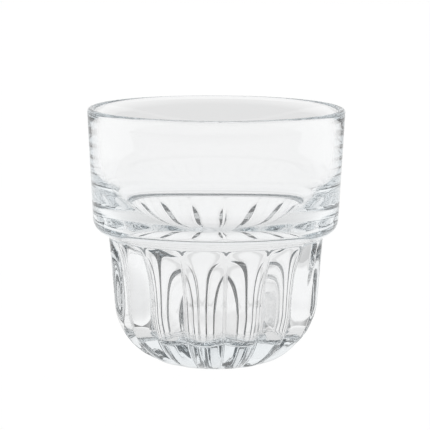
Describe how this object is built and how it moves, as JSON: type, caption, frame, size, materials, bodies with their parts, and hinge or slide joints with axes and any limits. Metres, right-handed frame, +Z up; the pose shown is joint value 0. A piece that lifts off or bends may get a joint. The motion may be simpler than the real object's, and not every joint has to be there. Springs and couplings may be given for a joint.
{
  "type": "stacking tumbler",
  "caption": "Stacking tumbler of clear pressed glass for short coffee drinks, with a plain wide bowl on a narrower fluted barrel with a rounded heel",
  "frame": {"origin": "centre of the foot on the plane that the glass stands on", "axes": "+Z up along the axis of the glass, -Y towards the viewer of the picture, +X to the viewer's right"},
  "size_m": [0.07, 0.07, 0.07],
  "materials": {
    "glass": "clear fire-polished pressed glass"
  },
  "bodies": {
    "root": {"tumbler": "glass"}
  },
  "joints": []
}
